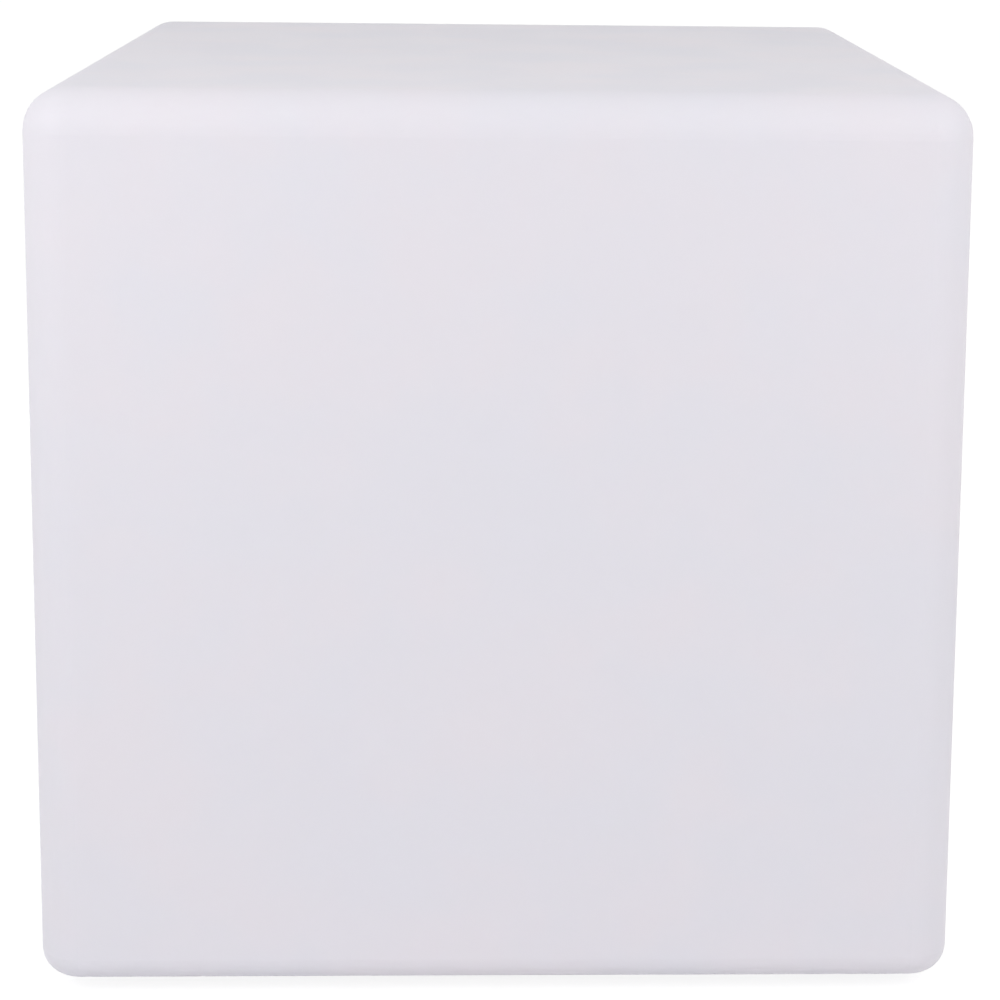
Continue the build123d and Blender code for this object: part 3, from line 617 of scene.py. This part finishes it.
class CUBELIGHT_OT_shell(Operator):
    """Finish the cube in matt, slightly translucent polyethylene"""

    bl_idname = "cubelight.shell"
    bl_label = "Cube Shell"

    COOL_CLOUDS_MOVED = (0.37, 0.11, 0.53)
    SCUFFED_HEIGHT = 6 * MM

    def execute(self, context):
        colours, surface, _ = settings(context)
        depth = {
            "IOR": 1.5,
            "Specular IOR Level": 0.3,
            "Subsurface Weight": 0.35,
            "Subsurface Radius": (1.0, 0.95, 1.0),
            "Subsurface Scale": surface.shell_depth,
        }
        finish = Finish("shell", depth)
        clouds = {"Size": surface.shell_cloud, "Share": surface.shell_cloud_share}
        tones = {"Colour": opaque(colours.shell_plastic), "Second": opaque(colours.shell_warm)}
        warm = finish.effect("clouded_tone", {**tones, **clouds})
        moved = vector_node(finish.tree, "ADD", finish.spot, self.COOL_CLOUDS_MOVED)
        tones = {"Spot": moved, "Colour": warm["Colour"], "Second": opaque(colours.shell_cool)}
        cool = finish.effect("clouded_tone", {**tones, **clouds})
        finish.feed("Base Color", cool["Colour"])
        self.scuff(finish, colours, surface)
        finish.roughen(cool["Mask"], 0.5, 0.6)
        ripple = noise(finish.tree, finish.spot, surface.shell_ripple, detail=1.0)
        finish.emboss(ripple, surface.shell_ripple_depth)
        finish.grain(surface.shell_grain, surface.shell_grain_depth)
        dress(finish, "shell_plastic")
        return {"FINISHED"}

    def scuff(self, finish, colours, surface):
        """Darker scuffs on the underside, fading up the sides."""
        underneath = within(finish.tree, finish.axis("Z"), self.SCUFFED_HEIGHT, slope=6 * MM)
        inputs = {"Size": surface.shell_scuff, "Share": surface.shell_scuff_share}
        scuffs = finish.effect("fine_scuffs", inputs)["Mask"]
        mask = math_node(finish.tree, "MULTIPLY", scuffs, underneath)
        finish.paint(mask, shade(colours.shell_plastic, 0.85))


class CUBELIGHT_OT_housing(Operator):
    """Finish the light module's housing and the tray of the cells"""

    bl_idname = "cubelight.housing"
    bl_label = "Module Housing"

    GROOVE_HALF = 0.5 * MM
    GATE_RADIUS = 2.2 * MM

    def execute(self, context):
        colours, surface, detail = settings(context)
        plain = colours.housing_plastic
        housing = moulded("housing", plain, shade(plain, 0.93), surface, cloud=35 * MM, worn=0.5)
        tree = housing.tree
        relief = math_node(tree, "MAXIMUM", self.rings(housing, detail), self.label_pad(housing, detail))
        plate_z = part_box("vent_plug")[0].z + detail.vent_head
        below = within(tree, housing.axis("Z"), plate_z + 0.5 * MM, slope=0.5 * MM)
        housing.emboss(math_node(tree, "MULTIPLY", relief, below), -detail.relief_depth)
        dress(housing, "housing_plastic")
        dark = colours.cradle_plastic
        cradle = moulded("cradle", dark, shade(dark, 1.6), surface, rough=(0.4, 0.55), worn=0.4)
        dress(cradle, "cradle_plastic")
        return {"FINISHED"}

    def rings(self, housing, detail):
        """Drip groove inside the ring of screws, and the gate's mark at the middle."""
        away = housing.from_axis()
        off = off_by(housing.tree, away, detail.groove_radius)
        groove = within(housing.tree, off, self.GROOVE_HALF, slope=0.3 * MM)
        gate = within(housing.tree, away, self.GATE_RADIUS, slope=0.4 * MM)
        return math_node(housing.tree, "MAXIMUM", groove, gate)

    def label_pad(self, housing, detail):
        """Sunk rectangle with round corners, left bare."""
        tree = housing.tree
        moved = vector_node(tree, "SUBTRACT", housing.spot, (0.0, detail.pad_y, 0.0))
        inside = (detail.pad_length / 2 - detail.pad_corner, detail.pad_width / 2 - detail.pad_corner, 1.0)
        beyond = vector_node(tree, "SUBTRACT", vector_node(tree, "ABSOLUTE", moved), inside)
        clipped = vector_node(tree, "MAXIMUM", beyond, (0.0, 0.0, 0.0))
        slope = 0.4 * MM
        return within(tree, vector_node(tree, "LENGTH", clipped), detail.pad_corner - slope / 2, slope)


class CUBELIGHT_OT_dome(Operator):
    """Finish the opal dome over the leds"""

    bl_idname = "cubelight.dome"
    bl_label = "Opal Dome"

    def execute(self, context):
        colours, surface, _ = settings(context)
        opal = colours.opal_plastic
        depth = {"Subsurface Weight": 0.5, "Subsurface Scale": 2 * MM, "Subsurface Radius": (1.0, 1.0, 1.0)}
        finish = moulded(
            "opal", opal, shade(opal, 0.95), surface, cloud=25 * MM, rough=(0.28, 0.36), constants=depth
        )
        dress(finish, "opal_plastic")
        return {"FINISHED"}


class CUBELIGHT_OT_rubber(Operator):
    """Finish the feet, the socket cover and the seals"""

    bl_idname = "cubelight.rubber"
    bl_label = "Rubber and Seals"

    def execute(self, context):
        colours, surface, _ = settings(context)
        rubber = moulded(
            "rubber", colours.grey_rubber, colours.rubber_bloom, surface,
            cloud=9 * MM, tone=0.45, rough=(0.62, 0.8), worn=0.3,
        )
        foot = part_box("rubber_feet")[1].x - surface.foot_radius
        rings = math_node(rubber.tree, "DIVIDE", rubber.from_axis(foot, foot), surface.foot_ring)
        tread = math_node(rubber.tree, "PINGPONG", rings, 0.5)
        sole = within(rubber.tree, rubber.axis("Z"), 0.1 * MM, slope=0.4 * MM)
        rubber.emboss(math_node(rubber.tree, "MULTIPLY", tread, sole), surface.foot_ring_depth)
        dress(rubber, "grey_rubber")
        seal = colours.soft_seal
        seals = moulded("seal", seal, shade(seal, 0.85), surface, cloud=6 * MM, rough=(0.45, 0.6))
        dress(seals, "soft_seal")
        return {"FINISHED"}


class CUBELIGHT_OT_button(Operator):
    """Finish the button with its painted mark"""

    bl_idname = "cubelight.button"
    bl_label = "Button"

    # the mark's painted floor: its height above the button's face, and half the band round it
    MARK_FLOOR = 0.775 * MM
    MARK_BAND = 0.075 * MM

    def execute(self, context):
        colours, surface, _ = settings(context)
        plain = colours.button_plastic
        finish = moulded("button", plain, shade(plain, 0.85), surface, cloud=8 * MM, worn=0.6)
        floor_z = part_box("power_button")[0].z + self.MARK_FLOOR
        off = off_by(finish.tree, finish.axis("Z"), floor_z)
        level = within(finish.tree, off, self.MARK_BAND, slope=0.1 * MM)
        down = ramp(finish.tree, finish.facing("Z"), low=-0.6, high=-0.8)
        finish.paint(math_node(finish.tree, "MULTIPLY", level, down), colours.button_mark)
        dress(finish, "button_plastic")
        return {"FINISHED"}


class CUBELIGHT_OT_vent(Operator):
    """Model the ring and bar by which the vent is turned in"""

    bl_idname = "cubelight.vent"
    bl_label = "Vent Grip"

    # (share of the vent's radius, share of the grip's height) round the ring, and along the bar
    RING = ((0.66, 1.0), (0.69, -0.7), (0.73, -1.0), (0.77, -0.7), (0.8, 1.0))
    BAR = ((-0.5, 0.0), (-0.45, -1.0), (0.45, -1.0), (0.5, 0.0))

    def execute(self, context):
        detail = context.scene.cube_light_detail
        low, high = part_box("vent_plug")
        centre = (low + high) / 2
        radius = (high.x - low.x) / 2
        rise = detail.vent_grip
        ring = [(r * radius, h * rise) for r, h in self.RING]
        bar = [(y * radius, h * rise) for y, h in self.BAR]
        move = Matrix.Translation((centre.x, centre.y, low.z))
        shapes = [lathed(ring, 64, move), bent_strip(bar, detail.vent_bar, rise, move)]
        grip = new_piece("vent_grip", joined(shapes), "root")
        bevelled(grip, 0.3 * rise)
        share_finish(grip, "vent_plug")
        return {"FINISHED"}


class CUBELIGHT_OT_metals(Operator):
    """Finish screws, washers, pins, strap, inserts and tabs"""

    bl_idname = "cubelight.metals"
    bl_label = "Metal Pieces"

    def execute(self, context):
        colours, surface, _ = settings(context)
        rolled = ("drawn_lines", {"Size": surface.rolled_line})
        lathe = ("turned_rings", {"Pitch": surface.thread_pitch})
        dress(metal("steel", colours.steel, surface, lines=rolled), "steel")
        dress(metal("brass", colours.brass, surface, rough=(0.25, 0.4), lines=lathe), "brass")
        dress(metal("nickel", colours.nickel, surface, rough=(0.18, 0.32), lines=rolled), "nickel")
        return {"FINISHED"}


class CUBELIGHT_OT_leds(Operator):
    """Finish the led board and its leds, and fill the leds with gel"""

    bl_idname = "cubelight.leds"
    bl_label = "Leds"

    TRACK_RADII = (14 * MM, 27 * MM, 41 * MM)
    TRACK_HALF = 1.0 * MM
    TRACK_DEPTH = 0.05 * MM
    LEDS_A_RING = 12
    LED_HALF = 2.5 * MM
    WINDOW_RADIUS = 1.98 * MM
    WINDOW_DEPTH = 0.6 * MM
    GEL_EDGE_DEPTH = 0.05 * MM
    GEL_HOLE = 0.02 * MM

    def execute(self, context):
        colours, surface, detail = settings(context)
        self.finish_board(colours, surface)
        clear = colours.led_clear
        half_step = math.pi / self.LEDS_A_RING
        rings = (("white_leds", "led_white", 0.0), ("rgb_leds", "led_clear", half_step))
        for node, slot, start in rings:
            gel_colour = getattr(colours, slot)
            dress(moulded(slot, clear, shade(clear, 0.93), surface, rough=(0.2, 0.3)), slot)
            gel = moulded(
                f"{node}_gel", gel_colour, shade(gel_colour, 0.85), surface,
                cloud=0.8 * MM, rough=(0.08, 0.16), constants={"Coat Weight": 0.6, "Coat Roughness": 0.05},
            )
            piece = self.gel(node, start, detail.gel_rise)
            piece.data.materials.append(gel.material)
        return {"FINISHED"}

    def finish_board(self, colours, surface):
        """White coat over ring tracks."""
        white = colours.led_board_finish
        board = moulded("led_board", white, shade(white, 0.95), surface, cloud=30 * MM, rough=(0.3, 0.42))
        away = board.from_axis()
        for radius in self.TRACK_RADII:
            off = off_by(board.tree, away, radius)
            track = within(board.tree, off, self.TRACK_HALF, slope=0.2 * MM)
            board.paint(math_node(board.tree, "MULTIPLY", track, 0.7), colours.copper_under_coat)
            board.emboss(track, self.TRACK_DEPTH)
        dress(board, "led_board_finish")

    def gel(self, node, start, rise):
        """A low dome of gel in the window of every led of a ring, whose first led stands at start."""
        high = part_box(node)[1]
        reach = (high.x - self.LED_HALF) / math.cos(start)
        window, floor_z = self.WINDOW_RADIUS, high.z - self.WINDOW_DEPTH
        profile = [(self.GEL_HOLE, floor_z), (window, floor_z), (window, high.z - self.GEL_EDGE_DEPTH)]
        profile += [(0.6 * window, high.z + 0.7 * rise), (self.GEL_HOLE, high.z + rise)]
        shapes = []
        for n in range(self.LEDS_A_RING):
            angle = start + math.tau * n / self.LEDS_A_RING
            move = Matrix.Translation((reach * math.cos(angle), reach * math.sin(angle), 0.0))
            shapes.append(lathed(profile, 24, move))
        return new_piece(f"{node}_gel", joined(shapes), "root")


class CUBELIGHT_OT_battery(Operator):
    """Finish the cells in their sleeves and give them their paper rings"""

    bl_idname = "cubelight.battery"
    bl_label = "Battery Cells"

    CELLS = 3
    TAB_REACH = 0.7 * MM
    RING_HOLE = 4.6 * MM
    RING_RADIUS = 7.9 * MM

    def execute(self, context):
        colours, surface, detail = settings(context)
        low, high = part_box("battery_cells")
        face_x = high.x - self.TAB_REACH
        self.finish_sleeves(colours, surface, face_x)
        radius = (high.z - low.z) / 2
        thick = detail.ring_thickness
        hole, edge = self.RING_HOLE, self.RING_RADIUS
        outline = [(hole, 0.0), (edge, 0.0), (edge, thick), (hole, thick)]
        sideways = Matrix.Rotation(math.pi / 2, 4, "Y")
        shapes = []
        for y in spread(low.y + radius, high.y - radius, self.CELLS):
            move = Matrix.Translation((face_x, y, low.z + radius)) @ sideways
            shapes.append(lathed(outline, 48, move))
        rings = new_piece("cell_rings", joined(shapes), "root")
        paper = moulded("paper", colours.cell_paper, colours.cell_paper_aged, surface, rough=(0.7, 0.85))
        rings.data.materials.append(paper.material)
        rings.data.shade_flat()
        return {"FINISHED"}

    def finish_sleeves(self, colours, surface, face_x):
        """Shrunk sleeve, with bare metal beyond the ends of the cells at face_x."""
        sleeve = colours.cell_wrap
        finish = moulded(
            "cells", sleeve, shade(sleeve, 0.8), surface, cloud=12 * MM, rough=(0.22, 0.34),
            constants={"Coat Weight": 0.3, "Coat Roughness": 0.15},
        )
        slope = 0.1 * MM
        from_middle = math_node(finish.tree, "ABSOLUTE", finish.axis("X"))
        bare = ramp(finish.tree, from_middle, face_x - slope / 2, face_x + slope / 2)
        finish.paint(bare, colours.can_metal)
        finish.feed("Metallic", bare)
        dress(finish, "cell_wrap")


class CUBELIGHT_OT_electronics(Operator):
    """Finish the control board and what stands on it, and give the chips their legs"""

    bl_idname = "cubelight.electronics"
    bl_label = "Control Board"

    CHIPS = 3
    ROUGH = {"chip_black": (0.45, 0.6), "connector_plastic": (0.3, 0.42), "socket_plastic": (0.2, 0.32)}

    def execute(self, context):
        colours, surface, detail = settings(context)
        self.finish_board(colours, surface)
        for slot, rough in self.ROUGH.items():
            plain = getattr(colours, slot)
            finish = moulded(slot, plain, shade(plain, 0.85), surface, cloud=5 * MM, rough=rough, worn=0.3)
            dress(finish, slot)
        cans = metal("cans", colours.can_metal, surface, rough=(0.3, 0.45))
        dress(cans, "can_metal")
        legs = self.chip_legs(detail)
        legs.data.materials.append(cans.material)
        return {"FINISHED"}

    def finish_board(self, colours, surface):
        """Green coat over a close pattern of tracks."""
        green = colours.board_green
        board = moulded(
            "board", green, shade(green, 0.8), surface, cloud=15 * MM, rough=(0.2, 0.3),
            constants={"Coat Weight": 0.4, "Coat Roughness": 0.1},
        )
        tree = board.tree
        inputs = {"Vector": board.spot, "Scale": 1.0 / surface.board_cell}
        cells = put(tree, "ShaderNodeTexVoronoi", inputs, distance="MANHATTAN", feature="F1")
        tracks_a_cell = 3.0
        spaced = math_node(tree, "MULTIPLY", cells.outputs["Distance"], tracks_a_cell)
        track = ramp(tree, math_node(tree, "PINGPONG", spaced, 0.5), low=0.28, high=0.34)
        board.paint(math_node(tree, "MULTIPLY", track, 0.8), colours.board_track)
        board.emboss(track, surface.board_track_depth)
        dress(board, "board_green")

    def chip_legs(self, detail):
        """Bent legs along the two long sides of every chip."""
        low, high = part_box("control_chips")
        size = high.y - low.y
        reach = detail.leg_reach
        middle_z = (low.z + high.z) / 2
        line = [(0.0, middle_z), (0.35 * reach, middle_z), (0.55 * reach, low.z), (reach, low.z)]
        pitch = size / detail.legs_a_side
        last = (detail.legs_a_side - 1) / 2 * pitch
        shapes = []
        for x in spread(low.x + size / 2, high.x - size / 2, self.CHIPS):
            for side, y in ((0.0, high.y), (math.pi, low.y)):
                for along in spread(-last, last, detail.legs_a_side):
                    move = Matrix.Translation((x + along, y, 0.0)) @ Matrix.Rotation(side, 4, "Z")
                    shapes.append(bent_strip(line, detail.leg_width, detail.leg_thickness, move))
        return new_piece("chip_legs", joined(shapes), "root")


class CUBELIGHT_OT_leads(Operator):
    """Finish the leads inside the module"""

    bl_idname = "cubelight.leads"
    bl_label = "Leads"

    def execute(self, context):
        colours, surface, _ = settings(context)
        for slot in ("wire_red", "wire_black", "wire_white"):
            plain = getattr(colours, slot)
            dress(moulded(slot, plain, shade(plain, 0.8), surface, cloud=4 * MM, rough=(0.35, 0.5)), slot)
        return {"FINISHED"}


class CUBELIGHT_OT_indicator(Operator):
    """Finish the light pipe of the charge indicator"""

    bl_idname = "cubelight.indicator"
    bl_label = "Charge Indicator"

    def execute(self, context):
        colours, surface, _ = settings(context)
        clear = colours.lens_clear
        finish = moulded(
            "lens", clear, shade(clear, 0.96), surface, cloud=3 * MM, rough=(0.05, 0.12),
            constants={"Transmission Weight": 0.85},
        )
        dress(finish, "lens_clear")
        return {"FINISHED"}


class CUBELIGHT_OT_boot(Operator):
    """Model the folded silicone boot between housing and button"""

    bl_idname = "cubelight.boot"
    bl_label = "Button Boot"

    # (share of the boot's radius, share of its height) round its section: the outside up, the inside down
    SECTION = (
        (0.995, 0.02), (0.995, 0.3), (0.93, 0.38), (0.9, 0.52), (0.87, 0.76), (0.8, 0.86),
        (0.7, 0.84), (0.58, 0.86), (0.46, 0.93), (0.36, 0.99), (0.26, 0.99), (0.25, 0.8),
        (0.34, 0.74), (0.46, 0.7), (0.58, 0.64), (0.7, 0.62), (0.78, 0.6), (0.81, 0.5),
        (0.83, 0.3), (0.83, 0.02),
    )
    MOVING_SHARE = 0.75

    def execute(self, context):
        low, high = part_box("button_boot")
        centre = (low + high) / 2
        radius, height = (high.x - low.x) / 2, high.z - low.z
        profile = [(r * radius, low.z + h * height) for r, h in self.SECTION]
        move = Matrix.Translation((centre.x, centre.y, 0.0))
        boot = new_piece("boot", lathed(profile, 48, move), None)
        smooth_by_subdivision(boot, 1)
        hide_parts("button_boot")
        share_finish(boot, "button_boot")
        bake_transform(boot)
        return {"FINISHED"}


class CUBELIGHT_OT_stage(Operator):
    """Set up floor, soft light and camera"""

    bl_idname = "cubelight.stage"
    bl_label = "Stage"

    FLOOR_REACH = 14.0
    FLOOR_SIDES = 64

    def execute(self, context):
        studio = context.scene.cube_light_studio
        front = studio.front_lamp_width
        self.add_floor(studio)
        self.add_room(context.scene, studio)
        self.add_lamp("left_lamp", studio.left_lamp, studio.left_lamp_place, front)
        self.add_lamp("right_lamp", studio.right_lamp, studio.right_lamp_place, front)
        self.add_lamp("back_lamp", studio.back_lamp, studio.back_lamp_place, studio.back_lamp_width)
        self.add_camera(context.scene, studio)
        context.scene.view_settings.view_transform = "Standard"
        return {"FINISHED"}

    def white_rays(self, tree):
        """1 for the rays that show the background: seen directly, in gloss or through clear plastic."""
        rays = put(tree, "ShaderNodeLightPath").outputs
        shown = math_node(tree, "MAXIMUM", rays["Is Camera Ray"], rays["Is Glossy Ray"])
        return math_node(tree, "MAXIMUM", shown, rays["Is Transmission Ray"])

    def add_floor(self, studio):
        """A wide pale disc that keeps the cube's shadow."""
        reach, sides = self.FLOOR_REACH, self.FLOOR_SIDES
        angles = [math.tau * n / sides for n in range(sides)]
        points = [(reach * math.cos(a), reach * math.sin(a), 0.0) for a in angles]
        floor = new_piece("floor", (points, [tuple(range(sides))]), None)
        floor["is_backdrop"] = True
        material = bpy.data.materials.new("floor")
        tree = empty_tree(material)
        shown = self.white_rays(tree)
        paint = put(tree, "ShaderNodeBsdfDiffuse", {"Color": opaque(studio.floor_colour)})
        faint = put(tree, "ShaderNodeBsdfDiffuse", {"Color": opaque((studio.floor_shadow,) * 3)})
        white = put(tree, "ShaderNodeEmission", {"Strength": studio.floor_white})
        bright = put(tree, "ShaderNodeAddShader", {0: faint.outputs["BSDF"], 1: white.outputs["Emission"]})
        inputs = {0: shown, 1: paint.outputs["BSDF"], 2: bright.outputs["Shader"]}
        mixed = put(tree, "ShaderNodeMixShader", inputs)
        put(tree, "ShaderNodeOutputMaterial", {"Surface": mixed.outputs["Shader"]})
        floor.data.materials.append(material)

    def add_room(self, scene, studio):
        """Even light from all round, weaker overhead, and white where it is seen."""
        world = bpy.data.worlds.new("room")
        tree = empty_tree(world)
        direction = put(tree, "ShaderNodeTexCoord").outputs["Generated"]
        rise = put(tree, "ShaderNodeSeparateXYZ", {"Vector": direction}).outputs["Z"]
        overhead = studio.room_light * (1.0 - studio.room_falloff)
        light = ramp(tree, rise, 0.0, 1.0, studio.room_light, overhead)
        strength = ramp(tree, self.white_rays(tree), 0.0, 1.0, light, 1.0)
        room = put(tree, "ShaderNodeBackground", {"Color": (1.0, 1.0, 1.0, 1.0), "Strength": strength})
        put(tree, "ShaderNodeOutputWorld", {"Surface": room.outputs["Background"]})
        scene.world = world

    def add_lamp(self, name, watts, spot, width):
        """A square soft lamp that looks at the middle of the cube."""
        lamp = bpy.data.lights.new(name, "AREA")
        lamp.energy = watts
        lamp.shape = "SQUARE"
        lamp.size = width
        holder = new_object(name, lamp)
        low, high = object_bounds()
        holder.location = spot
        aim = (low + high) / 2 - Vector(spot)
        holder.rotation_euler = aim.to_track_quat("-Z", "Y").to_euler()
        holder.visible_camera = False

    def add_camera(self, scene, studio):
        """The camera, at the photograph's angle."""
        camera = bpy.data.cameras.new("camera")
        camera.lens = studio.lens
        camera.shift_x, camera.shift_y = studio.shift
        holder = new_object("camera", camera)
        swing = Matrix.Rotation(-studio.camera_turn, 4, "Z")
        tilt = Matrix.Rotation(math.pi / 2 - studio.camera_tilt, 4, "X")
        roll = Matrix.Rotation(studio.camera_roll, 4, "Z")
        holder.matrix_world = Matrix.Translation(studio.camera_place) @ swing @ tilt @ roll
        scene.camera = holder


# ---- panel and registration

OPERATORS = (
    CUBELIGHT_OT_effects,
    CUBELIGHT_OT_shell,
    CUBELIGHT_OT_housing,
    CUBELIGHT_OT_dome,
    CUBELIGHT_OT_rubber,
    CUBELIGHT_OT_button,
    CUBELIGHT_OT_vent,
    CUBELIGHT_OT_metals,
    CUBELIGHT_OT_leds,
    CUBELIGHT_OT_battery,
    CUBELIGHT_OT_electronics,
    CUBELIGHT_OT_leads,
    CUBELIGHT_OT_indicator,
    CUBELIGHT_OT_boot,
    CUBELIGHT_OT_stage,
)


class CUBELIGHT_PT_panel(Panel):
    """Lists the steps that dress the cube light"""

    bl_idname = "CUBELIGHT_PT_panel"
    bl_label = "Cube Light"
    bl_space_type = "VIEW_3D"
    bl_region_type = "UI"
    bl_category = "Cube Light"

    def draw(self, context):
        for operator in OPERATORS:
            self.layout.operator(operator.bl_idname, text=operator.bl_label)


GROUPS = {
    "cube_light_colours": CubeLightColours,
    "cube_light_surface": CubeLightSurface,
    "cube_light_detail": CubeLightDetail,
    "cube_light_studio": CubeLightStudio,
}
CLASSES = (*GROUPS.values(), *OPERATORS, CUBELIGHT_PT_panel)


def register():
    """Makes the settings, operators and panel known."""
    for each in CLASSES:
        bpy.utils.register_class(each)
    for name, group in GROUPS.items():
        setattr(bpy.types.Scene, name, PointerProperty(type=group))


def unregister():
    """Takes them away again."""
    for name in GROUPS:
        delattr(bpy.types.Scene, name)
    for each in reversed(CLASSES):
        bpy.utils.unregister_class(each)


def main():
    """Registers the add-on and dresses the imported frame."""
    register()
    for operator in OPERATORS:
        getattr(bpy.ops.cubelight, operator.bl_idname.split(".")[1])()


if __name__ == "__main__":
    main()
